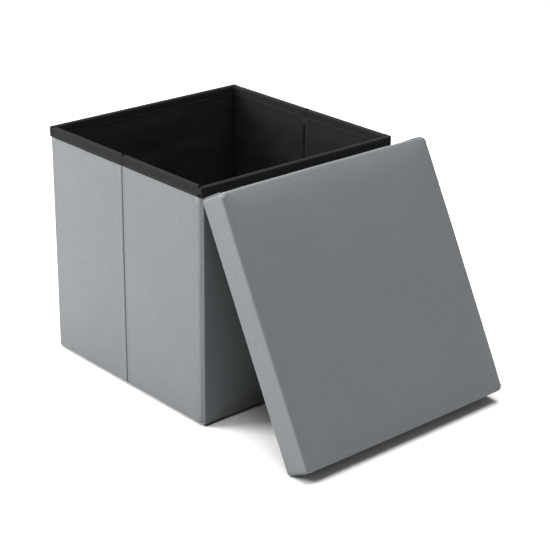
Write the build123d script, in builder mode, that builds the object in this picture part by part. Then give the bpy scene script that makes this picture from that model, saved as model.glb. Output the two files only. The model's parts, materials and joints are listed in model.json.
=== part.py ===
"""Folding storage ottoman: a cube box of hinged wall panels, and a padded lid that lifts off.

The origin is the centre of the box's underside, on the floor. +Z is up, +X points at the
plain wall that the lid leans on, and the creased front wall faces -Y.

The left and right walls are single panels. The front and rear walls are each two half
panels joined by a crease, which folds inwards until all the panels lie side by side.
"""

import os
from math import cos, degrees, radians, sin

from build123d import *

# ---------------------------------------------------------------- driving dimensions, mm

box_width = 370.0  # outside, along X and along Y, over the rim's binding tape
box_height = 370.0  # floor to the top of the rim

board_thickness = 5.0  # wall boards, inside the covers
cover_thickness = 1.4  # leatherette on its wadding, outside the boards
lining_thickness = 0.6  # black non-woven, inside the boards
tape_thickness = 0.8  # black binding tape folded over the rim
tape_depth = 16.0  # how far the tape reaches down both faces
seam_allowance = 3.0  # folded into the ends of a plain wall's cover
end_wrap = 1.0  # cover round the ends of a half panel
soft_corner = 4.0  # rounding of the box's upright corners

corner_gap = 0.3  # between a half panel's end and the plain wall beside it
crease_gap = 1.0  # between the two half panels of a creased wall
sweep_gap = 0.3  # between the base panel and the walls that swing over it

base_width = 358.0  # the base panel lies under the walls and is a little smaller
base_board_thickness = 2.5
base_fabric = 0.35
base_hem = 0.8  # fabric strip that joins the base panel to the right wall

lid_width = 398.0  # outside, both ways
lid_thickness = 52.0  # open edge to the top of the cushion
lid_recess = 378.0  # inside the skirt, both ways: the rim's width and a loose fit
lid_skirt = 20.0  # depth of the skirt rails
lid_board_thickness = 5.0
lid_skin = 1.0  # leatherette over the cushion and round the rails
lid_lining = 0.6
lid_corner = 8.0  # radius of the lid's four upright corners
lid_crown = 7.0  # radius between the cushion's side and its top

staple_crown = 10.0
staple_leg = 6.0
staple_wire = 0.6
staple_depth = 11.0  # from the lid's open edge
staple_pitch = 78.0
staples_per_side = 5

lid_lean = radians(27.5)  # angle of the lid from the vertical
lid_rest_gap = 0.5  # between the lid's top edge and the wall that it leans on
lid_shift = 13.0  # the lid stands this far towards the rear

# ---------------------------------------------------------------- worked out from them

half = box_width / 2

# Depths into a wall, from the outer face of its tape.
cover_face = tape_thickness
board_face = cover_face + cover_thickness
lining_face = board_face + board_thickness
inner_face = lining_face + lining_thickness
wall = inner_face + tape_thickness

half_panel = half - wall - corner_gap - crease_gap / 2
base_thickness = base_board_thickness + 2 * base_fabric
rim_board_top = box_height - tape_thickness

lid_up = Vector(-sin(lid_lean), 0, cos(lid_lean))  # up the lid's slope
lid_out = Vector(cos(lid_lean), 0, sin(lid_lean))  # from its open side to its cushion
lid_foot = Vector(half + lid_rest_gap + lid_width * sin(lid_lean), lid_shift, 0)
lid_plane = Plane(origin=lid_foot + lid_up * (lid_width / 2), x_dir=lid_up, z_dir=lid_out)

os.makedirs("parts", exist_ok=True)


def save(piece, name):
    """Label a finished piece and write its STEP file."""
    piece.label = name
    export_step(piece, f"parts/{name}.step")


# ---------------------------------------------------------------- wall panels


def panel_layer(plane, ends, depths, heights, radius=0):
    """Block of one wall layer, between two ends, two depths and two heights.

    The plane has its origin at one end of the wall's outer face, X along the wall, Y into
    the box and Z up. The radius rounds the layer's two outer upright edges.
    """
    with BuildPart() as layer:
        with BuildSketch(plane.offset(heights[0])) as section:
            with Locations((sum(ends) / 2, sum(depths) / 2)):
                Rectangle(ends[1] - ends[0], depths[1] - depths[0])
            if radius:
                fillet(section.vertices().sort_by(Axis.Y)[:2], radius)
        extrude(amount=heights[1] - heights[0])
    return layer.part


def wall_board(plane, cover_ends, wrap, bottom):
    """Flat board that stiffens a panel."""
    ends = (cover_ends[0] + wrap, cover_ends[1] - wrap)
    heights = (bottom + cover_thickness, rim_board_top)
    return panel_layer(plane, ends, (board_face, lining_face), heights)


def wall_lining(plane, cover_ends, wrap, bottom):
    """Non-woven sheet on the board's inner face."""
    ends = (cover_ends[0] + wrap, cover_ends[1] - wrap)
    heights = (bottom + cover_thickness, rim_board_top)
    return panel_layer(plane, ends, (lining_face, inner_face), heights)


def wall_cover(plane, ends, wrap, bottom, radius):
    """Leatherette over a panel's outer face, round its ends and under its lower edge."""
    pocket_ends = (ends[0] + wrap, ends[1] - wrap)
    pocket_heights = (bottom + cover_thickness, box_height)
    with BuildPart() as cover:
        add(panel_layer(plane, ends, (cover_face, inner_face), (bottom, rim_board_top), radius))
        pocket = panel_layer(plane, pocket_ends, (board_face, inner_face), pocket_heights)
        add(pocket, mode=Mode.SUBTRACT)
    return cover.part


def wall_binding(plane, length, end_tape, radius):
    """Tape folded over a panel's rim, and round the ends of a plain wall."""
    low = box_height - tape_depth
    inner_ends = (end_tape, length - end_tape)
    inner_radius = max(radius - tape_thickness, 0)
    with BuildPart() as binding:
        add(panel_layer(plane, (0, length), (0, wall), (low, box_height), radius))
        inside = (cover_face, inner_face)
        held = panel_layer(plane, inner_ends, inside, (low, rim_board_top), inner_radius)
        add(held, mode=Mode.SUBTRACT)
    return binding.part


def make_panel(name, start, along, length, plain, bottom):
    """Board, cover, lining and binding of one wall panel.

    A plain wall has rounded ends that the cover and the tape go round.
    """
    plane = Plane(origin=(*start, 0), x_dir=along, z_dir=(0, 0, 1))
    end_tape = tape_thickness if plain else 0
    wrap = seam_allowance if plain else end_wrap
    radius = soft_corner if plain else 0
    cover_ends = (end_tape, length - end_tape)
    save(wall_board(plane, cover_ends, wrap, bottom), f"{name}_board")
    save(wall_cover(plane, cover_ends, wrap, bottom, radius), f"{name}_cover")
    save(wall_lining(plane, cover_ends, wrap, bottom), f"{name}_lining")
    tape_radius = radius + tape_thickness if plain else 0
    save(wall_binding(plane, length, end_tape, tape_radius), f"{name}_binding")


swing_bottom = base_thickness + sweep_gap
corner_end = half - wall - corner_gap
crease_end = crease_gap / 2

make_panel("right_wall", (half, -half), (0, 1, 0), box_width, True, base_thickness)
make_panel("left_wall", (-half, half), (0, -1, 0), box_width, True, swing_bottom)
make_panel("front_right", (crease_end, -half), (1, 0, 0), half_panel, False, swing_bottom)
make_panel("front_left", (-corner_end, -half), (1, 0, 0), half_panel, False, swing_bottom)
make_panel("rear_right", (corner_end, half), (-1, 0, 0), half_panel, False, swing_bottom)
make_panel("rear_left", (-crease_end, half), (-1, 0, 0), half_panel, False, swing_bottom)

# ---------------------------------------------------------------- base panel

base_board_width = base_width - 2 * base_fabric

with BuildPart() as base_board:
    with BuildSketch(Plane.XY.offset(base_fabric)):
        Rectangle(base_board_width, base_board_width)
    extrude(amount=base_board_thickness)
save(base_board.part, "base_board")

# The fabric is a sleeve, open where the hem joins it to the right wall.
with BuildPart() as base_cover:
    with BuildSketch(Plane.XY):
        Rectangle(base_width, base_width)
    extrude(amount=base_thickness)
    with BuildSketch(Plane.XY.offset(base_fabric)):
        with Locations((base_fabric, 0)):
            Rectangle(base_width, base_board_width)
    extrude(amount=base_board_thickness, mode=Mode.SUBTRACT)
save(base_cover.part, "base_cover")

with BuildPart() as hem:
    with BuildSketch(Plane.XY):
        with Locations((base_width / 2 + base_hem / 2, 0)):
            Rectangle(base_hem, base_width)
    extrude(amount=base_thickness)
save(hem.part, "base_hem")

# ---------------------------------------------------------------- lid
# On the lid's plane X runs up its slope, Y towards the front and Z out to the cushion's top,
# from the open edge of the skirt.

lid_inside = lid_width - 2 * lid_skin
lid_inside_corner = lid_corner - lid_skin
rail_inside = lid_recess + 2 * lid_skin
rail_thickness = (lid_inside - rail_inside) / 2
rail_centre = (lid_inside - rail_thickness) / 2


def lid_block(bottom, inset):
    """Solid lid shape from the given depth to the cushion's top, shrunk by the inset."""
    width = lid_width - 2 * inset
    with BuildPart() as block:
        with BuildSketch(lid_plane.offset(bottom)):
            RectangleRounded(width, width, lid_corner - inset)
        extrude(amount=lid_thickness - inset - bottom)
        cushion_top = block.faces().sort_by(Axis((0, 0, 0), lid_out))[-1]
        fillet(cushion_top.edges(), lid_crown - inset)
    return block.part


with BuildPart() as lid_board:
    with BuildSketch(lid_plane.offset(lid_skirt)):
        RectangleRounded(lid_inside, lid_inside, lid_inside_corner)
    extrude(amount=lid_board_thickness)
save(lid_board.part, "lid_board")

save(lid_block(lid_skirt + lid_board_thickness, lid_skin), "lid_foam")

# The upper and lower rails reach the corners and are rounded there.
for name, side in (("upper", 1), ("lower", -1)):
    with BuildPart() as rail:
        with BuildSketch(lid_plane.offset(lid_skin)) as rail_section:
            with Locations((side * rail_centre, 0)):
                Rectangle(rail_thickness, lid_inside)
            outer_vertices = rail_section.vertices().sort_by(Axis.X)
            outer_vertices = outer_vertices[-2:] if side > 0 else outer_vertices[:2]
            fillet(outer_vertices, lid_inside_corner)
        extrude(amount=lid_skirt - lid_skin)
    save(rail.part, f"lid_rail_{name}")

# The front and rear rails fit between them.
for name, side in (("front", 1), ("rear", -1)):
    with BuildPart() as rail:
        with BuildSketch(lid_plane.offset(lid_skin)):
            with Locations((0, side * rail_centre)):
                Rectangle(rail_inside, rail_thickness)
        extrude(amount=lid_skirt - lid_skin)
    save(rail.part, f"lid_rail_{name}")

# The cover goes over the cushion, round the rails and up their inner faces.
with BuildPart() as lid_cover:
    add(lid_block(0, 0))
    add(lid_block(lid_skirt, lid_skin), mode=Mode.SUBTRACT)
    with BuildSketch(lid_plane.offset(lid_skin)):
        RectangleRounded(lid_inside, lid_inside, lid_inside_corner)
        Rectangle(rail_inside, rail_inside, mode=Mode.SUBTRACT)
    extrude(amount=lid_skirt - lid_skin, mode=Mode.SUBTRACT)
    with BuildSketch(lid_plane):
        Rectangle(lid_recess, lid_recess)
    extrude(amount=lid_skirt, mode=Mode.SUBTRACT)
save(lid_cover.part, "lid_cover")

with BuildPart() as lid_lining_sheet:
    with BuildSketch(lid_plane.offset(lid_skirt - lid_lining)):
        Rectangle(lid_recess, lid_recess)
    extrude(amount=lid_lining)
save(lid_lining_sheet.part, "lid_lining")

# Staples through the turned-in cover into the rails, a row on each side.
leg_offset = (staple_crown - staple_wire) / 2
with BuildPart() as lid_staples:
    for to_side in (lid_up, lid_plane.y_dir, -lid_up, -lid_plane.y_dir):
        side_plane = Plane(origin=lid_plane.origin, x_dir=to_side, z_dir=lid_out)
        with BuildSketch(side_plane.offset(staple_depth)):
            with Locations((lid_recess / 2 - staple_wire / 2, 0)):
                with GridLocations(0, staple_pitch, 1, staples_per_side):
                    Rectangle(staple_wire, staple_crown)
            with Locations((lid_recess / 2 + staple_leg / 2, 0)):
                with GridLocations(0, staple_pitch, 1, staples_per_side):
                    with Locations((0, leg_offset), (0, -leg_offset)):
                        Rectangle(staple_leg, staple_wire)
        extrude(amount=staple_wire)
save(lid_staples.part, "lid_staples")

print(f"wall {wall:.2f} mm, half panel {half_panel:.2f} mm")
print(f"corner hinges at {half - wall:.2f} mm, crease hinges at {half:.2f} mm")
print(f"lid leans {degrees(lid_lean):.1f} degrees from {lid_foot}, centre {lid_plane.origin}")
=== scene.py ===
"""Looks of a folding storage ottoman with a padded lid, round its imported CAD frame, in metres."""

import json
from math import atan2, cos, pi, radians, sin

import bpy
import numpy as np
from mathutils import Matrix, Vector, noise


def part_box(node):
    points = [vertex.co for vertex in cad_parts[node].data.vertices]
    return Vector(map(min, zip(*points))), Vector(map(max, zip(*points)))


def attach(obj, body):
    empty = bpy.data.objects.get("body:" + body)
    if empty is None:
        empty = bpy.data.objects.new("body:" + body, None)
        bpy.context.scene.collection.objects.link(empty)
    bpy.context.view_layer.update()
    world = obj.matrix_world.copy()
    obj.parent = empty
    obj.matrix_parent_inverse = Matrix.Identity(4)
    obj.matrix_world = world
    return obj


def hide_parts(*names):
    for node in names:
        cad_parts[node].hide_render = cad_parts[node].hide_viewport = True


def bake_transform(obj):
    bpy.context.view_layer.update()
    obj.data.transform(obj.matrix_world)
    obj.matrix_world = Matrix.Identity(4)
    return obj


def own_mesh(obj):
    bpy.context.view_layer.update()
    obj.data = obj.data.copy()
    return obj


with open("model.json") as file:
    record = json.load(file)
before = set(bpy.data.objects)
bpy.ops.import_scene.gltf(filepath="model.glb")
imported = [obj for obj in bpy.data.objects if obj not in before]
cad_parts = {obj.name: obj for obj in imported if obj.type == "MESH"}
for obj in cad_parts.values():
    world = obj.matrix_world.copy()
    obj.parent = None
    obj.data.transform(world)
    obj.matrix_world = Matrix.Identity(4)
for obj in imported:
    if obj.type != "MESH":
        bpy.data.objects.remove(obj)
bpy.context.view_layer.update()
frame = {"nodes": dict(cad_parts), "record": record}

MM = 0.001

# ---------------------------------------------------------------- materials

# A mix node's colour sockets share their names with its number sockets, so they go by number.
MIX_FIRST_COLOUR = 6
MIX_SECOND_COLOUR = 7
MIX_COLOUR_OUT = 2


class Shader:
    """Short way to add nodes and links to one material."""

    def __init__(self, name):
        self.material = bpy.data.materials.new(name)
        self.material.use_nodes = True
        self.tree = self.material.node_tree
        self.tree.nodes.clear()
        self.surface = self.node("ShaderNodeBsdfPrincipled")
        output = self.node("ShaderNodeOutputMaterial")
        self.link(self.surface.outputs["BSDF"], output.inputs["Surface"])
        self.place = self.node("ShaderNodeTexCoord").outputs["Object"]

    def node(self, kind, **settings):
        made = self.tree.nodes.new(kind)
        for key, value in settings.items():
            setattr(made, key, value)
        return made

    def link(self, source, target):
        self.tree.links.new(source, target)

    def scaled(self, scale):
        """Object coordinates, times a scale on each axis."""
        mapping = self.node("ShaderNodeMapping")
        mapping.inputs["Scale"].default_value = scale
        self.link(self.place, mapping.inputs["Vector"])
        return mapping.outputs["Vector"]

    def noise(self, scale, detail=3.0, stretch=(1, 1, 1), roughness=0.5, distortion=0.0):
        made = self.node("ShaderNodeTexNoise")
        made.inputs["Scale"].default_value = scale
        made.inputs["Detail"].default_value = detail
        made.inputs["Roughness"].default_value = roughness
        made.inputs["Distortion"].default_value = distortion
        self.link(self.scaled(stretch), made.inputs["Vector"])
        return made.outputs["Fac"]

    def cells(self, scale, stretch=(1, 1, 1), feature="F1", randomness=1.0):
        made = self.node("ShaderNodeTexVoronoi", feature=feature)
        made.inputs["Scale"].default_value = scale
        made.inputs["Randomness"].default_value = randomness
        self.link(self.scaled(stretch), made.inputs["Vector"])
        return made.outputs["Distance"]

    def spread(self, value, low, high, to_low, to_high):
        """Value's range from low to high, mapped to another range."""
        made = self.node("ShaderNodeMapRange")
        ends = {"From Min": low, "From Max": high, "To Min": to_low, "To Max": to_high}
        for socket, number in ends.items():
            made.inputs[socket].default_value = number
        self.link(value, made.inputs["Value"])
        return made.outputs["Result"]

    def blend(self, factor, dark, light):
        """Colour between two, by a factor from 0 to 1."""
        made = self.node("ShaderNodeMix", data_type="RGBA")
        made.inputs[MIX_FIRST_COLOUR].default_value = (*dark, 1)
        made.inputs[MIX_SECOND_COLOUR].default_value = (*light, 1)
        self.link(factor, made.inputs["Factor"])
        return made.outputs[MIX_COLOUR_OUT]

    def add(self, first, second, weight=1.0):
        """First plus weight times second."""
        made = self.node("ShaderNodeMath", operation="MULTIPLY_ADD")
        made.inputs[1].default_value = weight
        self.link(second, made.inputs[0])
        self.link(first, made.inputs[2])
        return made.outputs["Value"]

    def bump(self, height, depth, strength=1.0):
        made = self.node("ShaderNodeBump")
        made.inputs["Strength"].default_value = strength
        made.inputs["Distance"].default_value = depth
        self.link(height, made.inputs["Height"])
        self.link(made.outputs["Normal"], self.surface.inputs["Normal"])

    def set(self, **sockets):
        for key, value in sockets.items():
            self.surface.inputs[key.replace("_", " ")].default_value = value


def leatherette(name, dark, light):
    """Grey leatherette: pebbled grain with faint creases along the roll, satin."""
    s = Shader(name)
    tone = s.add(s.noise(420.0, 3.0), s.noise(9.0, 4.0), 0.25)
    s.link(s.blend(s.spread(tone, 0.40, 0.85, 0, 1), dark, light), s.surface.inputs["Base Color"])
    pebbles = s.cells(760.0, (1, 1, 1.25), "SMOOTH_F1")
    creases = s.noise(260.0, 4.0, (0.45, 0.45, 2.6), 0.6, 0.6)
    grain = s.add(pebbles, creases, 0.9)
    s.link(s.spread(grain, 0.3, 1.2, 0.40, 0.54), s.surface.inputs["Roughness"])
    s.bump(grain, 0.00022, 0.75)
    s.set(IOR=1.38)
    return s.material


def nonwoven(name, dark, light):
    """Black spun-bonded fabric: a small grid of pressed points in a felted mat of fibres."""
    s = Shader(name)
    fibres = s.noise(900.0, 5.0, (1, 1, 1), 0.65, 1.5)
    s.link(s.blend(s.spread(fibres, 0.3, 0.75, 0, 1), dark, light), s.surface.inputs["Base Color"])
    points = s.cells(640.0, randomness=0.15)
    s.bump(s.add(fibres, points, 0.8), 0.00016, 0.8)
    s.set(Roughness=0.92, IOR=1.2)
    return s.material


def tape(name, dark, light):
    """Black binding tape, a fine ribbed weave."""
    s = Shader(name)
    ribs = s.noise(500.0, 3.0, (2.4, 2.4, 0.5), 0.5, 0.4)
    fibres = s.noise(1300.0, 4.0)
    weave = s.add(ribs, fibres, 0.7)
    s.link(s.blend(s.spread(weave, 0.6, 1.1, 0, 1), dark, light), s.surface.inputs["Base Color"])
    s.bump(weave, 0.00018, 0.8)
    s.set(Roughness=0.85, Sheen_Weight=0.02, Sheen_Roughness=0.45, IOR=1.2)
    return s.material


def thread(name, dark, light):
    """Sewing thread, twisted."""
    s = Shader(name)
    twist = s.noise(2600.0, 2.0)
    s.link(s.blend(twist, dark, light), s.surface.inputs["Base Color"])
    s.bump(twist, 0.00008, 0.6)
    s.set(Roughness=0.6, IOR=1.45)
    return s.material


def fibreboard(name, dark, light):
    """Raw pressed board, mottled chips."""
    s = Shader(name)
    chips = s.add(s.noise(160.0, 5.0), s.cells(420.0), 0.4)
    s.link(s.blend(s.spread(chips, 0.4, 0.8, 0, 1), dark, light), s.surface.inputs["Base Color"])
    s.bump(chips, 0.0002, 0.5)
    s.set(Roughness=0.85)
    return s.material


def softwood(name, dark, light):
    """Planed softwood rail, with grain along it."""
    s = Shader(name)
    grain = s.noise(60.0, 5.0, (1, 0.12, 1), 0.6, 1.2)
    s.link(s.blend(s.spread(grain, 0.3, 0.7, 0, 1), dark, light), s.surface.inputs["Base Color"])
    s.bump(grain, 0.0003, 0.4)
    s.set(Roughness=0.7)
    return s.material


def foam_rubber(name, dark, light):
    """Open-cell cushion foam."""
    s = Shader(name)
    pores = s.cells(900.0)
    s.link(s.blend(s.spread(pores, 0.1, 0.6, 0, 1), dark, light), s.surface.inputs["Base Color"])
    s.bump(pores, 0.0004, 0.6)
    s.set(Roughness=0.95)
    return s.material


def plated_wire(name, dark, light):
    """Zinc-plated staple wire, lightly scuffed."""
    s = Shader(name)
    scuffs = s.noise(700.0, 4.0)
    s.link(s.blend(scuffs, dark, light), s.surface.inputs["Base Color"])
    s.link(s.spread(scuffs, 0.3, 0.7, 0.25, 0.45), s.surface.inputs["Roughness"])
    s.bump(scuffs, 0.00004, 0.4)
    s.set(Metallic=1.0)
    return s.material


def studio_floor(name):
    """Pale seamless paper, with the faintest mottle."""
    s = Shader(name)
    mottle = s.noise(2.0, 3.0)
    s.link(s.blend(mottle, (0.645, 0.645, 0.65), (0.67, 0.67, 0.67)), s.surface.inputs["Base Color"])
    s.set(Roughness=0.9, IOR=1.3)
    return s.material


GREY = leatherette("grey_leatherette", (0.084, 0.093, 0.098), (0.108, 0.117, 0.122))
LINING = nonwoven("black_nonwoven", (0.0045, 0.0046, 0.0044), (0.0125, 0.0127, 0.0120))
TAPE = tape("black_binding", (0.0030, 0.0034, 0.0032), (0.0115, 0.0125, 0.0118))
BLACK_THREAD = thread("black_thread", (0.010, 0.010, 0.010), (0.035, 0.035, 0.035))
GREY_THREAD = thread("grey_thread", (0.20, 0.215, 0.225), (0.34, 0.36, 0.37))
BOARD = fibreboard("panel_board", (0.30, 0.22, 0.15), (0.48, 0.38, 0.27))
WOOD = softwood("rail_wood", (0.50, 0.36, 0.22), (0.66, 0.52, 0.35))
FOAM = foam_rubber("foam", (0.66, 0.61, 0.48), (0.83, 0.79, 0.66))
STEEL = plated_wire("staple_steel", (0.50, 0.50, 0.52), (0.72, 0.72, 0.74))

SLOT_MATERIALS = {
    "grey_leatherette": GREY,
    "black_nonwoven": LINING,
    "black_binding": TAPE,
    "panel_board": BOARD,
    "rail_wood": WOOD,
    "foam": FOAM,
    "staple_steel": STEEL,
}


def finish_cad_nodes():
    """Gives every CAD node the material of its slot in the record."""
    slots = {part["node"]: part["material_slot"] for part in frame["record"]["subparts"]}
    for name, node in frame["nodes"].items():
        node.data.materials.clear()
        node.data.materials.append(SLOT_MATERIALS[slots[name]])


# ---------------------------------------------------------------- mesh helpers


def add_piece(name, points, faces, material, body=None):
    """Smooth mesh object from points and faces, riding on a body."""
    mesh = bpy.data.meshes.new(name)
    mesh.from_pydata(np.asarray(points).reshape(-1, 3).tolist(), [], faces)
    mesh.polygons.foreach_set("use_smooth", [True] * len(mesh.polygons))
    mesh.materials.append(material)
    piece = bpy.data.objects.new(name, mesh)
    bpy.context.scene.collection.objects.link(piece)
    if body:
        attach(piece, body)
    return piece


def grid_faces(rows, columns, closed=False, first=0):
    """Quads of a grid of rows by columns, joined round each row when closed."""
    faces = []
    last = columns if closed else columns - 1
    for r in range(rows - 1):
        for c in range(last):
            after = (c + 1) % columns
            low, high = first + r * columns, first + (r + 1) * columns
            faces.append((low + c, low + after, high + after, high + c))
    return faces


def thicken(piece, thickness):
    """Gives a sheet its thickness, behind its face."""
    solid = piece.modifiers.new("thickness", "SOLIDIFY")
    solid.thickness = thickness
    solid.offset = -1
    solid.use_even_offset = False


def apply_modifiers(piece):
    """Turns a piece's modifiers into plain mesh."""
    graph = bpy.context.evaluated_depsgraph_get()
    graph.update()
    result = bpy.data.meshes.new_from_object(piece.evaluated_get(graph))
    piece.modifiers.clear()
    piece.data = result


def mesh_points(piece):
    """A piece's points, one row each."""
    points = np.zeros(len(piece.data.vertices) * 3)
    piece.data.vertices.foreach_get("co", points)
    return points.reshape(-1, 3)


def set_mesh_points(piece, points):
    """Moves a piece's points to new places."""
    piece.data.vertices.foreach_set("co", np.asarray(points, np.float32).ravel())
    piece.data.update()


def fade(distance, reach):
    """1 at no distance, smoothly 0 from the reach on."""
    share = np.clip(1 - np.abs(distance) / reach, 0, 1)
    return share * share * (3 - 2 * share)


def ripple(points, scale, seed):
    """Smooth noise from -1 to 1 at each of an array of points."""
    flat = np.asarray(points).reshape(-1, 3) * scale + seed * 7.31
    values = np.array([noise.noise(Vector(p)) for p in flat])
    return values.reshape(np.asarray(points).shape[:-1])


def spaced(start, end, step, fine=0.0, edge=0.0):
    """Numbers from start to end about a step apart, with a finer step near both ends."""
    if not fine:
        return np.linspace(start, end, max(2, round((end - start) / step) + 1))
    left = start + np.linspace(0, edge, round(edge / fine) + 1)[:-1]
    right = end - (left[::-1] - start)
    middle = np.linspace(start + edge, end - edge, max(2, round((end - start - 2 * edge) / step)))
    return np.concatenate([left, middle, right])


# ---------------------------------------------------------------- wall panels


FAR = 1.0  # further than any panel is long


class Panel:
    """A wall panel's frame: distances along it, in from the tape's outer face, and up."""

    def __init__(self, name, outward, crease=0):
        self.name = name
        self.outward = Vector(outward)
        self.along = Vector((0, 0, 1)).cross(self.outward)
        self.crease = crease  # 1 with the crease at its far end, -1 at its near end, 0 if plain
        self.start, self.end = self.span("binding", self.along)
        tape_inner, self.face = self.span("binding", self.outward)
        cover_inner, cover_face = self.span("cover", self.outward)
        self.wall = self.face - tape_inner
        self.cover = self.face - cover_face
        self.inner = self.face - cover_inner
        self.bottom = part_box(f"{name}_cover")[0].z
        self.tape_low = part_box(f"{name}_binding")[0].z
        self.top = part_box(f"{name}_binding")[1].z

    def span(self, layer, direction):
        """Nearest and furthest reach of one of the panel's layers in a direction."""
        low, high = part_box(f"{self.name}_{layer}")
        return sorted((low.dot(direction), high.dot(direction)))

    def place(self, along, depth, height):
        """Points in the scene, from arrays of the three distances."""
        along, depth, height = np.broadcast_arrays(along, depth, height)
        level = np.array(self.along) * along[..., None]
        level = level + np.array(self.outward) * (self.face - depth[..., None])
        return level + np.array((0, 0, 1)) * height[..., None]

    def from_crease(self, along):
        """Distance from the crease, or far away on a plain wall."""
        if not self.crease:
            return np.full_like(along, FAR)
        return np.abs(along - (self.end if self.crease > 0 else self.start))


PANELS = {
    "right_wall": Panel("right_wall", (1, 0, 0)),
    "left_wall": Panel("left_wall", (-1, 0, 0)),
    "front_right": Panel("front_right", (0, -1, 0), -1),
    "front_left": Panel("front_left", (0, -1, 0), 1),
    "rear_right": Panel("rear_right", (0, 1, 0), 1),
    "rear_left": Panel("rear_left", (0, 1, 0), -1),
}

SKIN = 1.0 * MM  # thickness of the walls' leatherette
TAPE_CLOTH = 0.55 * MM  # thickness of the binding tape
SHEET = 0.4 * MM  # thickness of the non-woven sheets
CELL = 6 * MM  # size of the meshes' cells on plain stretches
NOSE_SLANT = 2.7 * MM  # a plain wall's soft end leans back this far
NOSE_GROOVE = 0.5 * MM  # depth of the groove beside the seam on that end
EDGE_ROUND = 1.6 * MM  # radius of the upright edges of a folding half's cover
FOOT_ROUND = 2.6 * MM  # radius of a cover's lower edge
RIM_ROUND = 2.6 * MM  # radius of the tape's two upper edges
TAPE_OVERHANG = 0.35 * MM  # the tape reaches this much further into a crease than the cover
TAPE_DEPTH = PANELS["right_wall"].top - PANELS["right_wall"].tape_low  # height of its face
TAPE_SEAM = 3 * MM  # the tape's seam runs this far above its lower edge
STITCH_PITCH = 4.4 * MM
STITCH_LENGTH = 3 * MM
FINE_THREAD = 0.24 * MM  # radius of the black thread
SEAM_THREAD = 0.26 * MM  # radius of the grey thread


def end_profile(panel):
    """Plan profile round one end of a cover, as (distance from the end, depth) pairs."""
    if panel.crease:
        bend = np.linspace(0, pi / 2, 5)
        sides = [(0, panel.inner), (0, (panel.inner + panel.cover) / 2)]
        turn = [(EDGE_ROUND * (1 - cos(a)), panel.cover + EDGE_ROUND * (1 - sin(a))) for a in bend]
        return np.array(sides + turn)
    flat = np.linspace(0, 1, 6)[:, None]
    corner = np.array((NOSE_SLANT, panel.cover + 1.3 * MM))
    nose = np.array((0.1 * MM, panel.inner)) * (1 - flat) + corner * flat
    nose[-2, 0] += NOSE_GROOVE
    turn = np.array(((0.6, 0.5), (1.7, 0.1), (3.0, 0.0))) * MM + (NOSE_SLANT, panel.cover)
    return np.vstack([nose, turn])


def cover_outline(panel):
    """Plan outline of a cover's outside, from one inner edge to the other."""
    profile = end_profile(panel)
    inset = panel.cover if not panel.crease else 0.0
    start, end = panel.start + inset, panel.end - inset
    reach = profile[-1, 0]
    middle = spaced(start + reach, end - reach, CELL, 1.3 * MM, 14 * MM)[1:-1]
    low_end = np.column_stack([start + profile[:, 0], profile[:, 1]])
    high_end = np.column_stack([end - profile[::-1, 0], profile[::-1, 1]])
    face = np.column_stack([middle, np.full_like(middle, panel.cover)])
    return np.vstack([low_end, face, high_end])


def inset_outline(outline, inset, low, high):
    """The outline drawn in by an inset, at its two ends and on its outer face."""
    along = np.clip(outline[:, 0], low + inset, high - inset)
    depth = np.maximum(outline[:, 1], outline[:, 1].min() + inset)
    return along, depth


def seam_bead(panel, outline, height):
    """Moves for a plain wall's cover: a sewn bead down each outer corner, nipped at every stitch."""
    moves = np.zeros((*height.shape, 3))
    nips = 0.5 - 0.5 * np.cos(2 * pi * height / STITCH_PITCH)
    size = (0.25 * MM + 0.40 * MM * nips) * np.clip((height - panel.bottom) / (6 * MM), 0, 1)
    for end, way in ((panel.start + panel.cover, -1), (panel.end - panel.cover, 1)):
        seam = (end - way * (NOSE_SLANT + 0.7 * MM), panel.cover + 0.7 * MM)
        away = np.hypot(outline[:, 0] - seam[0], outline[:, 1] - seam[1])
        aim = np.array(panel.along) * way * 0.5 + np.array(panel.outward) * 0.85
        moves += (fade(away, 1.9 * MM) * size)[..., None] * aim
    return moves


def cover_relief(panel, outline, points):
    """How far a cover's face stands out: padded and wavy, ridged at a crease, in at the tape."""
    along = np.broadcast_to(outline[:, 0], points.shape[:2])
    height = points[..., 2]
    middle = (panel.start + panel.end) / 2
    across = np.clip(np.abs(along - middle) / (panel.end - middle), 0, 1)
    upright = np.clip(2 * (height - panel.bottom) / (panel.tape_low - panel.bottom) - 1, -1, 1)
    plump = 0.55 * MM * (1 - across**4) * (1 - upright**4)
    waves = 0.30 * MM * ripple(points, 11.0, 1) + 0.10 * MM * ripple(points, 45.0, 2)
    waves = waves * np.clip(1 - np.abs(upright) ** 6, 0, 1)
    ridge = 0.45 * MM * fade(panel.from_crease(along) - 3.2 * MM, 2.6 * MM)
    ridge = ridge * np.clip((panel.tape_low - 1 * MM - height) / (5 * MM), 0, 1)
    drawn = 0.35 * MM * fade(height - panel.tape_low, 9 * MM)
    return plump + waves + ridge - drawn


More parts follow.
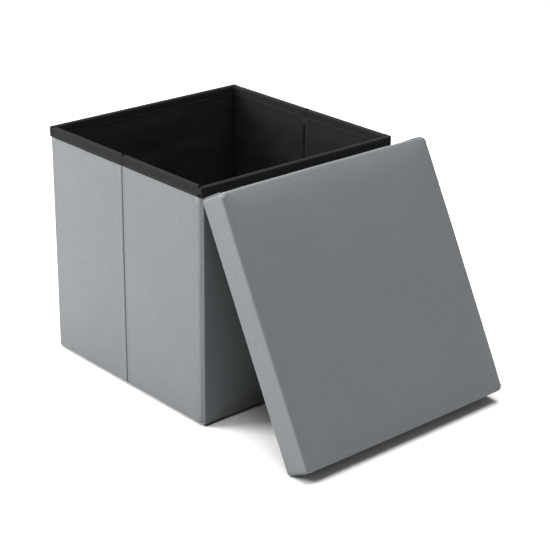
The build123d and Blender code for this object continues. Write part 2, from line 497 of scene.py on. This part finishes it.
def make_cover(panel):
    """Leatherette skin of one panel: padded, rounded at its foot, drawn in at its seams."""
    outline = cover_outline(panel)
    bend = np.linspace(0, pi / 2, 6)
    foot = [(panel.bottom, 5.5 * MM), (panel.bottom, 4.0 * MM)]
    foot += [(panel.bottom + FOOT_ROUND * (1 - cos(a)), FOOT_ROUND * (1 - sin(a))) for a in bend]
    step = CELL if panel.crease else STITCH_PITCH / 4
    up = spaced(panel.bottom + FOOT_ROUND, panel.top - 2 * MM, step)[1:]
    rows = foot + [(z, 0.0) for z in up]
    points = []
    for height, inset in rows:
        along, depth = inset_outline(outline, inset, outline[:, 0].min(), outline[:, 0].max())
        points.append(panel.place(along, depth, height))
    points = np.array(points)
    on_face = (outline[:, 1] < panel.cover + 0.6 * MM).astype(float)
    points += np.array(panel.outward) * (cover_relief(panel, outline, points) * on_face)[..., None]
    if not panel.crease:
        points += seam_bead(panel, outline, points[..., 2])
    piece = add_piece(f"{panel.name}_skin", points, grid_faces(*points.shape[:2]), GREY)
    thicken(piece, SKIN)
    apply_modifiers(piece)
    points = mesh_points(piece)
    points[:, 2] = np.maximum(points[:, 2], panel.bottom + 0.1 * MM)
    set_mesh_points(piece, points)
    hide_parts(f"{panel.name}_cover")
    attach(piece, panel.name)


def tape_outline(panel):
    """Closed plan outline of the tape round a panel's rim, with its normals."""
    outer = 3.4 * MM if not panel.crease else 0.5 * MM
    inner = 0.6 * MM
    start = panel.start - (TAPE_OVERHANG if panel.crease < 0 else 0.0)
    end = panel.end + (TAPE_OVERHANG if panel.crease > 0 else 0.0)
    steps = spaced(start + outer, end - outer, 4 * MM, 0.8 * MM, 21 * MM)
    near = [(s, 0.0) for s in steps]
    far = [(s, panel.wall) for s in np.clip(steps[::-1], start + inner, end - inner)]
    bend = np.linspace(0, pi / 2, 6)[1:-1]
    turns = []
    for radius, s, d, first in (
        (outer, end - outer, outer, -pi / 2),
        (inner, end - inner, panel.wall - inner, 0),
        (inner, start + inner, panel.wall - inner, pi / 2),
        (outer, start + outer, outer, pi),
    ):
        turns.append([(s + radius * cos(first + a), d + radius * sin(first + a)) for a in bend])
    loop = np.array(near + turns[0] + turns[1] + far + turns[2] + turns[3])
    ahead = np.roll(loop, -1, 0) - np.roll(loop, 1, 0)
    normals = np.column_stack([ahead[:, 1], -ahead[:, 0]])
    normals /= np.maximum(np.linalg.norm(normals, axis=1), 1e-9)[:, None]
    return loop, normals


def tape_rise(panel, points, from_crease):
    """How far the tape stands out: waves and puckers, and gathers near a crease.

    It is never above 0, so that two taped rims can lie face to face when folded.
    """
    fall = np.clip((panel.top - points[..., 2]) / TAPE_DEPTH, 0, 1)
    gathers = 0.42 * MM * fade(from_crease, 20 * MM) * np.sin(2 * pi * from_crease / (4.3 * MM) + 0.8)
    puckers = 0.16 * MM * ripple(points, 150.0, 5)
    waves = (0.14 * MM + 0.18 * MM * fall) * ripple(points, 55.0, 3)
    rise = waves + puckers + gathers * (0.35 + 0.65 * fall)
    return np.clip(0.75 * rise - 0.28 * MM, -0.58 * MM, -0.03 * MM)


def make_tape(panel):
    """Binding tape over a panel's rim, rounded on top, stitched near its edges, gathered at a crease."""
    loop, normals = tape_outline(panel)
    bend = np.linspace(0, pi / 2, 6)
    # Heights from the rim and how far the tape is drawn in there, in mm: most at its seam.
    drawn_in = [(-16.0, 0.12), (-15.5, 0.0), (-14.0, 0.05), (-13.0, 0.32), (-12.0, 0.05)]
    drawn_in += [(z, 0.0) for z in (-10.0, -8.0, -6.0, -4.2)]
    rows = [(panel.top + z * MM, inset * MM) for z, inset in drawn_in]
    rows += [(panel.top - RIM_ROUND * (1 - sin(a)), RIM_ROUND * (1 - cos(a))) for a in bend]
    rows += [(panel.top, panel.wall / 2 - 0.05 * MM)]
    start, end = loop[:, 0].min(), loop[:, 0].max()
    points = []
    for height, inset in rows:
        along = np.clip(loop[:, 0], start + inset, end - inset)
        depth = np.clip(loop[:, 1], inset, panel.wall - inset)
        points.append(panel.place(along, depth, height))
    points = np.array(points)
    from_crease = panel.from_crease(loop[:, 0])
    rise = tape_rise(panel, points, from_crease)
    world_normals = np.array(panel.along) * normals[:, :1] - np.array(panel.outward) * normals[:, 1:]
    points += world_normals[None] * rise[..., None]
    fall = np.clip((panel.top - points[..., 2]) / TAPE_DEPTH, 0, 1)
    points[..., 2] += 0.3 * MM * fall**8 * ripple(points, 70.0, 4)
    points[..., 2] -= 0.25 * MM * fade(from_crease, 9 * MM) * (1 - fall)
    piece = add_piece(f"{panel.name}_tape", points, grid_faces(*points.shape[:2], closed=True), TAPE)
    thicken(piece, TAPE_CLOTH)
    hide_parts(f"{panel.name}_binding")
    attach(piece, panel.name)


def make_lining(panel):
    """Slack non-woven sheet on a panel's inner face, tucked under the tape."""
    inset = 0.3 * MM if panel.crease else panel.wall / 2
    along = spaced(panel.start + inset, panel.end - inset, CELL)
    height = spaced(panel.bottom + 1.0 * MM, panel.top - 6 * MM, CELL)
    s, z = np.meshgrid(along, height)
    share = np.clip((s - along[0]) / (along[-1] - along[0]), 0, 1)
    up = np.clip((z - height[0]) / (height[-1] - height[0]), 0, 1)
    flat_points = panel.place(s, panel.inner, z)
    rolls = ripple(flat_points * np.array((1, 1, 3.4)), 5.5, 11)
    folds = 1 - np.abs(ripple(flat_points * np.array((1, 1, 2.2)), 13.0, 13)) * 2.2
    waves = rolls + 0.45 * np.clip(folds, -1, 1) + 0.25 * ripple(flat_points, 38.0, 12)
    below_tape = np.clip((panel.tape_low + 2 * MM - z) / (22 * MM), 0, 1)
    held = np.sin(pi * np.clip(share, 0.02, 0.98)) ** 0.35 * below_tape * np.clip(up * 9, 0, 1)
    slack = np.clip(2.0 + 1.9 * waves, 0.2, 5.0) * MM * held
    points = panel.place(s, panel.inner + 0.15 * MM + slack, z)
    faces = [face[::-1] for face in grid_faces(*s.shape)]
    piece = add_piece(f"{panel.name}_lining_sheet", points, faces, LINING)
    thicken(piece, SHEET)
    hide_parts(f"{panel.name}_lining")
    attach(piece, panel.name)
    apply_modifiers(piece)
    anchor = panel.place(0.0, panel.inner, 0.0).tolist()
    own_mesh(piece)


# ---------------------------------------------------------------- fabric across the folds


def fold_strip(name, panel, along, depth, heights, turn, material, thickness):
    """Upright strip of fabric over a fold on the outside, fixed in the scene's frame on no body.

    It runs forward along the panel, which puts its face outward. The turn, where along the panel one
    side of the fold ends and the other starts, is made into two points that nothing uses.
    """
    s, z = np.meshgrid(along, heights)
    points = panel.place(s, np.broadcast_to(depth, s.shape), z)
    piece = add_piece(name, points, grid_faces(*s.shape), material)
    thicken(piece, thickness)
    apply_modifiers(piece)
    start, end = (panel.place(distance, 0.0, 0.0).tolist() for distance in turn)
    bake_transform(piece)


CREASE_GAP = 0.1 * MM  # half the line between the two sides of the fabric at a crease
CREASE_REACH = 6 * MM  # from a crease to the edge of a strip beside it


def half_strip(name, panel, way, points, material, thickness):
    """One side of the fabric over a crease, riding on that side's panel.

    A way of 1 has its face outward where the strip runs forward along the panel, and
    inward where it runs back; a way of -1 is the other way round.
    """
    faces = grid_faces(*points.shape[:2])
    if way < 0:
        faces = [face[::-1] for face in faces]
    piece = add_piece(name, points, faces, material)
    thicken(piece, thickness)
    apply_modifiers(piece)
    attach(piece, panel.name)


def make_crease(parent, child):
    """Outer and inner fabric that meets in a fine line at the crease of a folding wall."""
    near = np.array((0.3, 0.6, 0.9, 1.2)) * MM
    across = np.concatenate([[CREASE_GAP], near, np.linspace(1.7 * MM, CREASE_REACH, 5)])
    for name in (parent, child):
        panel = PANELS[name]
        way = -panel.crease
        heights = spaced(panel.bottom + 1 * MM, panel.tape_low + 2 * MM, 12 * MM)
        s, z = np.meshgrid(across * way, heights)
        groove = panel.cover + 0.9 * MM + 0.6 * MM * fade(across, 1.2 * MM)
        points = panel.place(s, np.broadcast_to(groove, s.shape), z)
        half_strip(f"{name}_crease_skin", panel, way, points, GREY, 0.5 * MM)
        points = panel.place(s, panel.inner + 0.5 * MM, z)
        half_strip(f"{name}_crease_lining", panel, -way, points, LINING, 0.3 * MM)


def make_crease_tape(side, parent):
    """Tape that crosses the outer face of the rim at a crease, fixed in the scene's frame."""
    panel = PANELS[parent]
    across = np.linspace(-1.6, 1.6, 13) * MM
    heights = np.linspace(panel.tape_low + 0.3 * MM, panel.top - 2.4 * MM, 6)
    depth = np.full_like(across, 0.03 * MM)
    turn = (-0.6 * MM * panel.crease, 0.6 * MM * panel.crease)
    fold_strip(f"{side}_crease_tape", panel, across, depth, heights, turn,
               TAPE, 0.2 * MM)


def make_corner(name, half_name, plain_name, child):
    """Leatherette and tape that turn the corner between a half panel and a plain wall.

    The strip lies on the half panel's outer face, runs on over the joint, and dives in
    at both its upright edges.
    """
    half = PANELS[half_name]
    at_end = half.crease < 0
    corner = half.end if at_end else half.start
    outward = 1.0 if at_end else -1.0
    on_half, on_plain = np.linspace(-6, -0.6, 6), [0.9, 1.6, 2.6]
    across = np.concatenate([on_half, np.linspace(-0.3, 0.6, 10), on_plain]) * MM
    along = corner + outward * across
    dive = 0.35 * MM * np.clip(-across / (6 * MM), 0, 1) ** 2 - 0.05 * MM
    dive = dive + np.clip(across, 0, None) * 0.43
    to_child = 1.0 if child == plain_name else -1.0
    turn = tuple(corner + outward * (0.15 + 0.45 * to_child * side) * MM for side in (-1, 1))
    heights = spaced(half.bottom + 2 * MM, half.tape_low + 2 * MM, 12 * MM)
    order = slice(None) if at_end else slice(None, None, -1)
    fold_strip(f"{name}_corner_skin", half, along[order], (half.cover + dive)[order], heights,
               turn, GREY, 0.4 * MM)
    heights = np.linspace(half.tape_low + 0.4 * MM, half.top - 2.6 * MM, 5)
    fold_strip(f"{name}_corner_tape", half, along[order], (0.1 * MM + dive)[order], heights,
               turn, TAPE, 0.4 * MM)


# ---------------------------------------------------------------- stitches


def make_stitches(name, middles, along, normals, radius, material, body):
    """Row of short arched stitches: each a thread that rises from the cloth and dips back in."""
    rings, sides = 5, 6
    middles, along, normals = (np.asarray(v, float).reshape(-1, 3) for v in (middles, along, normals))
    along, normals = np.broadcast_to(along, middles.shape), np.broadcast_to(normals, middles.shape)
    across = np.cross(along, normals)
    points, faces = [], []
    for share in np.linspace(-1, 1, rings):
        centre = middles + along * share * STITCH_LENGTH / 2 + normals * radius * 1.1 * (1 - share**2)
        for angle in np.linspace(0, 2 * pi, sides, endpoint=False):
            points.append(centre + (across * cos(angle) + normals * sin(angle)) * radius)
    points = np.array(points).transpose(1, 0, 2)
    one = grid_faces(rings, sides, closed=True)
    one += [tuple(range(sides))[::-1], tuple(range((rings - 1) * sides, rings * sides))]
    for k in range(len(middles)):
        faces += [tuple(k * rings * sides + v for v in face) for face in one]
    add_piece(name, points, faces, material, body=body)


def stitch_tape(panel):
    """The seam that holds the tape, seen outside and inside."""
    inset = 6 * MM
    row = np.arange(panel.start + inset, panel.end - inset, STITCH_PITCH)
    height = panel.tape_low + TAPE_SEAM
    sunk = 0.32 * MM
    for side, depth, way in (("outer", sunk, 1), ("inner", panel.wall - sunk, -1)):
        middles = panel.place(row, depth, height)
        rise = tape_rise(panel, middles, panel.from_crease(row))
        normal = np.array(panel.outward) * way
        middles += normal * rise[:, None]
        name = f"{panel.name}_{side}_stitches"
        make_stitches(name, middles, panel.along, normal, FINE_THREAD, BLACK_THREAD, panel.name)


def stitch_corners(panel):
    """The seam beside the bead down a plain wall's outer corners."""
    row = np.arange(panel.bottom + 8 * MM, panel.tape_low - 2 * MM, STITCH_PITCH)
    for side, end, way in (("start", panel.start, -1), ("end", panel.end, 1)):
        place = end - way * (panel.cover + NOSE_SLANT * 0.72 + 0.35 * MM)
        middles = panel.place(place, panel.cover + 3.0 * MM, row)
        slant = atan2(NOSE_SLANT, panel.inner - panel.cover)
        normal = np.array(panel.along) * way * cos(slant) + np.array(panel.outward) * sin(slant)
        name = f"{panel.name}_{side}_seam_stitches"
        make_stitches(name, middles, (0, 0, 1), normal, SEAM_THREAD, GREY_THREAD, panel.name)


# ---------------------------------------------------------------- base panel


BASE_SEAM = 7 * MM  # the sleeve's seam runs this far in from its edges


def make_base():
    """Non-woven sleeve round the stiff base board, sewn shut along a flat hem."""
    low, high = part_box("base_cover")
    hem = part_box("base_hem")[1].x
    edge = 0.5 * MM
    half = (high.z - low.z) / 2
    x = spaced(low.x + edge, hem - edge, CELL, 2 * MM, 10 * MM)
    y = spaced(low.y + edge, high.y - edge, CELL, 2 * MM, 10 * MM)
    xs, ys = np.meshgrid(x, y)
    loop = square_loop(len(y), len(x))
    top = np.stack([xs, ys, 0 * xs + high.z], -1)
    bottom = np.stack([xs, ys, 0 * xs + low.z], -1)
    to_edge = np.minimum.reduce([xs - low.x, hem - xs, ys - low.y, high.y - ys])
    seam = fade(to_edge - BASE_SEAM, 1.6 * MM)
    loose = np.clip((to_edge - 14 * MM) / (20 * MM), 0, 1)
    top[..., 2] -= 0.10 * MM + loose * 0.08 * MM * (1 - ripple(top, 14.0, 21)) + 0.1 * MM * seam
    bend = np.linspace(pi / 2, -pi / 2, 7)[1:-1]
    centre = np.array(((low.x + hem) / 2, (low.y + high.y) / 2, 0))
    reach = np.array((hem - centre[0] - edge, high.y - centre[1] - edge, 1))
    rim = top.reshape(-1, 3)[loop] - centre
    rings = []
    for angle in bend:
        wider = reach + np.array((edge * cos(angle), edge * cos(angle), 0))
        ring = rim / reach * wider + centre
        ring[:, 2] = low.z + half * (1 + sin(angle))
        rings.append(ring)
    count = xs.size
    points = np.vstack([top.reshape(-1, 3), bottom.reshape(-1, 3), *rings])
    faces = grid_faces(*xs.shape) + [f[::-1] for f in grid_faces(*xs.shape, first=count)]
    ring_rows = [loop, *numbered_rings(len(rings), len(loop), 2 * count), loop + count]
    faces += ring_faces(ring_rows)
    piece = add_piece("base_sleeve", points, faces, LINING, body="right_wall")
    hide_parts("base_cover", "base_hem")
    stitch_base(low, Vector((hem, high.y, high.z)))


def stitch_base(low, high):
    """Four rows of stitches round the base sleeve's upper face, on the seam."""
    level = high.z - 0.65 * MM
    for side, across, place in (
        ("left", 0, low.x + BASE_SEAM),
        ("right", 0, high.x - BASE_SEAM),
        ("front", 1, low.y + BASE_SEAM),
        ("rear", 1, high.y - BASE_SEAM),
    ):
        along = 1 - across
        start, end = low[along] + BASE_SEAM + 2 * MM, high[along] - BASE_SEAM - 2 * MM
        row = np.arange(start, end, STITCH_PITCH)
        middles = np.zeros((len(row), 3))
        middles[:, across], middles[:, along], middles[:, 2] = place, row, level
        way = np.zeros(3)
        way[along] = 1.0
        name = f"base_{side}_stitches"
        make_stitches(name, middles, way, (0, 0, 1), FINE_THREAD, BLACK_THREAD, "right_wall")


def square_loop(rows, columns):
    """Numbers of a grid's outermost points, counterclockwise from its first."""
    grid = np.arange(rows * columns).reshape(rows, columns)
    return np.concatenate([grid[0, :-1], grid[:-1, -1], grid[-1, :0:-1], grid[:0:-1, 0]])


def numbered_rings(rings, length, first):
    """Point numbers of rings of a length, one after the other, from a first number."""
    return list(first + np.arange(rings * length).reshape(rings, length))


def ring_faces(rings):
    """Quads between closed rings of point numbers, each ring outside or below the last."""
    faces = []
    for inner, outer in zip(rings, rings[1:]):
        for k in range(len(inner)):
            after = (k + 1) % len(inner)
            faces.append((int(inner[k]), int(outer[k]), int(outer[after]), int(inner[after])))
    return faces


# ---------------------------------------------------------------- lid

LID_CORNER = 3.4 * MM  # plan radius of the lid's upright corners
LID_EDGE = 3.1 * MM  # radius between its side and its face, before the cushion swells
LID_CROWN = 6.5 * MM  # height of the cushion's swelling
EDGE_ROLL = 11 * MM  # half the face's fall towards an edge is spread over about this far
CROWN_REACH = 45 * MM  # and half over this far
SIDE_BULGE = 1.2 * MM  # most that the foam pushes a side out
SIMULATED = 0.25  # share of the simulated swelling in the cushion's shape; the rest is the dome
SWELL_FRAMES = 20
LID_SKIN = 0.9 * MM  # thickness of the lid's leatherette
TURN_IN = 9.8 * MM  # the cover turns in this far round the rails
FOLD_WIDTH = 27 * MM  # widest part of the folded cover at the lid's corners


class Lid:
    """The lid's frame: across it, up along its lean, and out from its open edge."""

    def __init__(self):
        sides = frame["nodes"]["lid_lining"].data.polygons
        normal = Vector(max(sides, key=lambda side: side.area).normal)
        self.out = np.array(normal if normal.x > 0 else -normal)
        self.across = np.array((0.0, 1.0, 0.0))
        self.up = np.cross(self.out, self.across)
        self.axes = np.array((self.across, self.up, self.out))
        cover = self.extent("lid_cover")
        self.half = (cover[1, 0] - cover[0, 0]) / 2
        middle = (cover[0] + cover[1]) / 2
        self.origin = np.array((middle[0], middle[1], cover[0, 2])) @ self.axes
        self.lining = self.extent("lid_lining")[0, 2] - cover[0, 2]
        self.face = cover[1, 2] - cover[0, 2] - LID_CROWN * 0.8
        self.held = self.face - LID_EDGE

    def extent(self, node):
        """Lowest and highest distances of a node along the lid's three axes."""
        points = np.array([v.co for v in frame["nodes"][node].data.vertices])
        apart = points @ self.axes.T
        return np.array((apart.min(0), apart.max(0)))

    def place(self, points):
        """Points in the scene, from points in the lid's frame."""
        return self.origin + np.asarray(points) @ self.axes


def round_corners(x, y, radius, half):
    """Square rings drawn in at their corners, by the full radius at the outermost."""
    ring = np.maximum(np.abs(x), np.abs(y))
    bend = radius * np.clip(ring / half, 0, 1) ** 6 + 1e-9
    reach = np.minimum(np.abs(x), np.abs(y))
    turn = np.clip((reach - (ring - bend)) / bend, 0, 1) * pi / 4
    straight = np.minimum(reach, ring - bend)
    longer, shorter = ring - bend + bend * np.cos(turn), straight + bend * np.sin(turn)
    x_longer = np.abs(x) >= np.abs(y)
    return (
        np.sign(x) * np.where(x_longer, longer, shorter),
        np.sign(y) * np.where(x_longer, shorter, longer),
    )


def lid_skin_mesh(lid):
    """Points in the lid's frame, and faces, of the whole cover before it swells."""
    flat = lid.half - LID_EDGE
    line = spaced(-flat, flat, CELL, 3.5 * MM, 7 * MM)
    xs, ys = np.meshgrid(line, line)
    face = np.stack([*round_corners(xs, ys, LID_CORNER - LID_EDGE, flat), 0 * xs + lid.face], -1)
    loop = square_loop(len(line), len(line))
    rim = np.stack([xs, ys], -1).reshape(-1, 2)[loop] / flat
    bend = np.linspace(0, pi / 2, 5)[1:]
    section = [(LID_EDGE * (sin(a) - 1), lid.face - LID_EDGE * (1 - cos(a))) for a in bend]
    section += [(0.0, z) for z in np.linspace(lid.face - LID_EDGE, 2.2 * MM, 8)[1:]]
    section += [(-0.5 * MM, 0.8 * MM), (-1.6 * MM, 0.1 * MM), (-5 * MM, 0.0)]
    section += [(0.7 * MM - TURN_IN, 0.1 * MM), (-TURN_IN, 1.5 * MM)]
    section += [(-TURN_IN, z) for z in np.linspace(5 * MM, lid.lining - 0.2 * MM, 4)]
    rings = []
    for inset, height in section:
        half = lid.half + inset
        radius = max(LID_CORNER + inset, 1.2 * MM)
        x, y = round_corners(rim[:, 0] * half, rim[:, 1] * half, radius, half)
        rings.append(np.column_stack([x, y, 0 * x + height]))
    points = np.vstack([face.reshape(-1, 3), *rings])
    rows = [loop, *numbered_rings(len(rings), len(loop), xs.size)]
    return points, grid_faces(*xs.shape) + ring_faces(rows)


def swell(piece, free):
    """Inflates the piece's free points as a cushion's cover under pressure, and keeps the shape."""
    pins = piece.vertex_groups.new(name="pins")
    pins.add([int(k) for k in np.flatnonzero(~free)], 1.0, "REPLACE")
    cloth = piece.modifiers.new("cloth", "CLOTH")
    cloth.settings.quality = 6
    cloth.settings.use_pressure = True
    cloth.settings.uniform_pressure_force = 0.7
    cloth.settings.effector_weights.gravity = 0.0
    cloth.settings.tension_stiffness = 30.0
    cloth.settings.bending_stiffness = 2.0
    cloth.settings.vertex_group_mass = "pins"
    scene = bpy.context.scene
    for step in range(SWELL_FRAMES):
        scene.frame_set(step + 1)
    apply_modifiers(piece)
    piece.vertex_groups.clear()
    scene.frame_set(1)


def settled(distance):
    """Share of the cushion's full height reached at a distance in from an edge."""
    return 1 - 0.5 * np.exp(-distance / EDGE_ROLL) - 0.5 * np.exp(-distance / CROWN_REACH)


def crown(points, lid):
    """Moves that raise the face into a low dome with softened edges."""
    x, y = (np.clip(lid.half - np.abs(points[:, k]), 0, None) for k in (0, 1))
    dome = LID_CROWN * settled(x) * settled(y)
    free = np.clip((points[:, 2] - lid.held) / LID_EDGE, 0, 1)
    return np.column_stack([0 * x, 0 * x, dome * free])


def side_bulge(points, lid):
    """Foam that fills out the sides between the corners and above the rails."""
    x, y, z = (points / (lid.half, lid.half, lid.face)).T
    edge = np.clip((np.maximum(np.abs(x), np.abs(y)) - 0.95) / 0.04, 0, 1)
    level = np.clip(z, 0, 1) ** 2 * np.clip((1.15 - z) / 0.15, 0, 1)
    way = np.stack([np.where(np.abs(x) > np.abs(y), np.sign(x), 0),
                    np.where(np.abs(y) > np.abs(x), np.sign(y), 0), 0 * x], -1)
    length = 1 - np.minimum(np.abs(x), np.abs(y)) ** 4
    return way * (SIDE_BULGE * edge * level * length)[:, None]


def pinch_corners(points, lid):
    """Draws the cover in at the four corners of the face, where its folds meet."""
    corner = lid.half - LID_EDGE * 0.6
    for x in (-corner, corner):
        for y in (-corner, corner):
            away = points - np.array((x, y, lid.face - LID_EDGE * 0.4))
            near = np.linalg.norm(away, axis=1)
            inward = -np.array((np.sign(x), np.sign(y), 1.4)) / 2
            points += fade(near - 1.0 * MM, 3.6 * MM)[:, None] * inward * 0.9 * MM
            ring = fade(near - 6.5 * MM, 4.0 * MM)
            points -= ring[:, None] * inward * 0.5 * MM
    return points


def make_lid_skin(lid):
    """The padded lid's cover, swollen over its foam and turned in round the rails."""
    points, faces = lid_skin_mesh(lid)
    piece = add_piece("lid_skin", points, faces, GREY)
    swell(piece, points[:, 2] > lid.held + 0.5 * MM)
    moved = mesh_points(piece) - points
    # No simulated move is longer than the crown is high.
    far = np.linalg.norm(moved, axis=1, keepdims=True) + 1e-9
    moved *= LID_CROWN / far * np.tanh(far / LID_CROWN)
    moved = SIMULATED * moved + (1 - SIMULATED) * crown(points, lid)
    set_mesh_points(piece, points + moved + side_bulge(points, lid))
    finer = piece.modifiers.new("finer", "SUBSURF")
    finer.levels = finer.render_levels = 1
    apply_modifiers(piece)
    local = pinch_corners(mesh_points(piece), lid)
    waves = 0.28 * MM * ripple(local, 16.0, 31) + 0.10 * MM * ripple(local, 60.0, 32)
    waves = waves * np.clip(local[:, 2] / (20 * MM), 0, 1)
    normals = np.zeros(local.size)
    piece.data.vertices.foreach_get("normal", normals)
    local += normals.reshape(-1, 3) * waves[:, None]
    set_mesh_points(piece, lid.place(local))
    thicken(piece, LID_SKIN)
    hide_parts("lid_cover", "lid_foam")
    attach(piece, "lid")


def make_lid_lining(lid):
    """Non-woven sheet stretched over the underside of the board, inside the rails."""
    half = lid.half - TURN_IN - 0.2 * MM
    line = spaced(-half, half, 7 * MM)
    xs, ys = np.meshgrid(line, line)
    held = (1 - (xs / half) ** 6) * (1 - (ys / half) ** 6)
    sag = 0.45 * MM * held * (1 + ripple(np.stack([xs, ys, 0 * xs], -1), 10.0, 41))
    points = lid.place(np.stack([xs, ys, lid.lining - 0.05 * MM - sag], -1))
    faces = [face[::-1] for face in grid_faces(*xs.shape)]
    piece = add_piece("lid_lining_sheet", points, faces, LINING, body="lid")
    thicken(piece, SHEET)
    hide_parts("lid_lining")


def make_lid_fold(lid, name, x_way, y_way):
    """Folded-over corner of the cover, lying on the upper or lower side of the lid.

    Its grid runs from the lid's corner along the side (u), and from the face to the open edge (v).
    """
    proud = 0.75 * MM
    top = lid.face - 6.5 * MM
    u, v = np.meshgrid(np.linspace(0, 1, 13), np.linspace(0, 1, 15))
    narrow = LID_CORNER * 0.2
    reach = narrow + (FOLD_WIDTH - narrow) * v**0.9
    x = lid.half - LID_CORNER - reach * u
    height = top * (1 - v) + 0.9 * MM * v
    side = np.stack([x, 0 * x + lid.half, height], -1).reshape(-1, 3)
    bulge = side_bulge(side, lid)[:, 1].reshape(x.shape)
    edge = np.clip(u / 0.15, 0, 1) * np.clip(v / 0.12, 0, 1) * np.clip((1 - v) / 0.05, 0.3, 1)
    lift = 0.5 * MM * fade(1 - u, 0.2) * fade(v - 0.3, 0.5)
    y = lid.half + bulge + (proud + lift) * edge
    points = lid.place(np.stack([x * x_way, y * y_way, height], -1))
    faces = grid_faces(*u.shape)
    if x_way * y_way < 0:
        faces = [face[::-1] for face in faces]
    piece = add_piece(name, points, faces, GREY, body="lid")
    thicken(piece, LID_SKIN)


# ---------------------------------------------------------------- floor, light and camera

FLOOR = studio_floor("pale_floor")
FLOOR_SIZE = 30.0
AMBIENT = 0.25  # strength of the white surround
OVERHEAD_POWER = 310.0  # W
SIDE_POWER = 228.0  # W
LIGHT_AIM = (0.1, 0.0, 0.2)
SIDE_TURN = radians(40)  # the side softbox stands this far round from -Y towards -X
SIDE_DISTANCE = 3.26  # level distance from the middle of the box
SIDE_HEIGHT = 1.52
LENS = 105.84  # mm
CAMERA_PLACE = (1.809, -1.499, 1.109)
CAMERA_TURN, CAMERA_TILT, CAMERA_ROLL = radians(48.24), radians(22.547), radians(0.667)


def make_softbox(name, place, size, power):
    """Square lamp of a size and power at a place, turned towards the ottoman."""
    lamp = bpy.data.lights.new(name, "AREA")
    lamp.shape = "SQUARE"
    lamp.size = size
    lamp.energy = power
    holder = bpy.data.objects.new(name, lamp)
    holder.location = place
    holder.rotation_euler = (Vector(LIGHT_AIM) - holder.location).to_track_quat("-Z", "Y").to_euler()
    bpy.context.scene.collection.objects.link(holder)


def make_stage():
    """Pale floor, a faint surround, an overhead softbox and a low one from the left."""
    line = np.linspace(-FLOOR_SIZE / 2, FLOOR_SIZE / 2, 5)
    xs, ys = np.meshgrid(line, line)
    floor = add_piece("floor", np.stack([xs, ys, 0 * xs - 0.3 * MM], -1), grid_faces(5, 5), FLOOR)
    scene = bpy.context.scene
    scene.view_settings.view_transform = "Standard"
    world = bpy.data.worlds.new("surroundings")
    world.use_nodes = True
    background = world.node_tree.nodes["Background"]
    background.inputs["Color"].default_value = (1.0, 1.0, 1.0, 1)
    background.inputs["Strength"].default_value = AMBIENT
    scene.world = world
    make_softbox("overhead_softbox", (0.0, 0.0, 3.2), 3.0, OVERHEAD_POWER)
    side = (-SIDE_DISTANCE * sin(SIDE_TURN), -SIDE_DISTANCE * cos(SIDE_TURN), SIDE_HEIGHT)
    make_softbox("side_softbox", side, 1.8, SIDE_POWER)


def make_camera():
    """Camera at the height and angle of a standing product photograph."""
    camera = bpy.data.cameras.new("camera")
    camera.sensor_width = 36.0
    camera.lens = LENS
    holder = bpy.data.objects.new("camera", camera)
    level = cos(CAMERA_TILT)
    back = Vector((sin(CAMERA_TURN) * level, -cos(CAMERA_TURN) * level, sin(CAMERA_TILT)))
    right = Vector((cos(CAMERA_TURN), sin(CAMERA_TURN), 0.0))
    above = back.cross(right)
    x_axis = cos(CAMERA_ROLL) * right + sin(CAMERA_ROLL) * above
    y_axis = cos(CAMERA_ROLL) * above - sin(CAMERA_ROLL) * right
    turned = Matrix((x_axis, y_axis, back)).transposed().to_4x4()
    holder.matrix_world = Matrix.Translation(CAMERA_PLACE) @ turned
    bpy.context.scene.collection.objects.link(holder)
    bpy.context.scene.camera = holder


# ---------------------------------------------------------------- the whole ottoman

for panel in PANELS.values():
    make_cover(panel)
    make_tape(panel)
    make_lining(panel)
    stitch_tape(panel)
    if not panel.crease:
        stitch_corners(panel)

for side in ("front", "rear"):
    make_crease(f"{side}_right", f"{side}_left")
    make_crease_tape(side, f"{side}_right")

make_corner("front", "front_right", "right_wall", "front_right")
make_corner("rear", "rear_right", "right_wall", "rear_right")
make_corner("left", "front_left", "left_wall", "left_wall")

make_base()

lid = Lid()
make_lid_skin(lid)
make_lid_lining(lid)
for x_name, x_way in (("front", -1), ("rear", 1)):
    for y_name, y_way in (("lower", -1), ("upper", 1)):
        make_lid_fold(lid, f"lid_{x_name}_{y_name}_fold", x_way, y_way)

finish_cad_nodes()
make_stage()
make_camera()
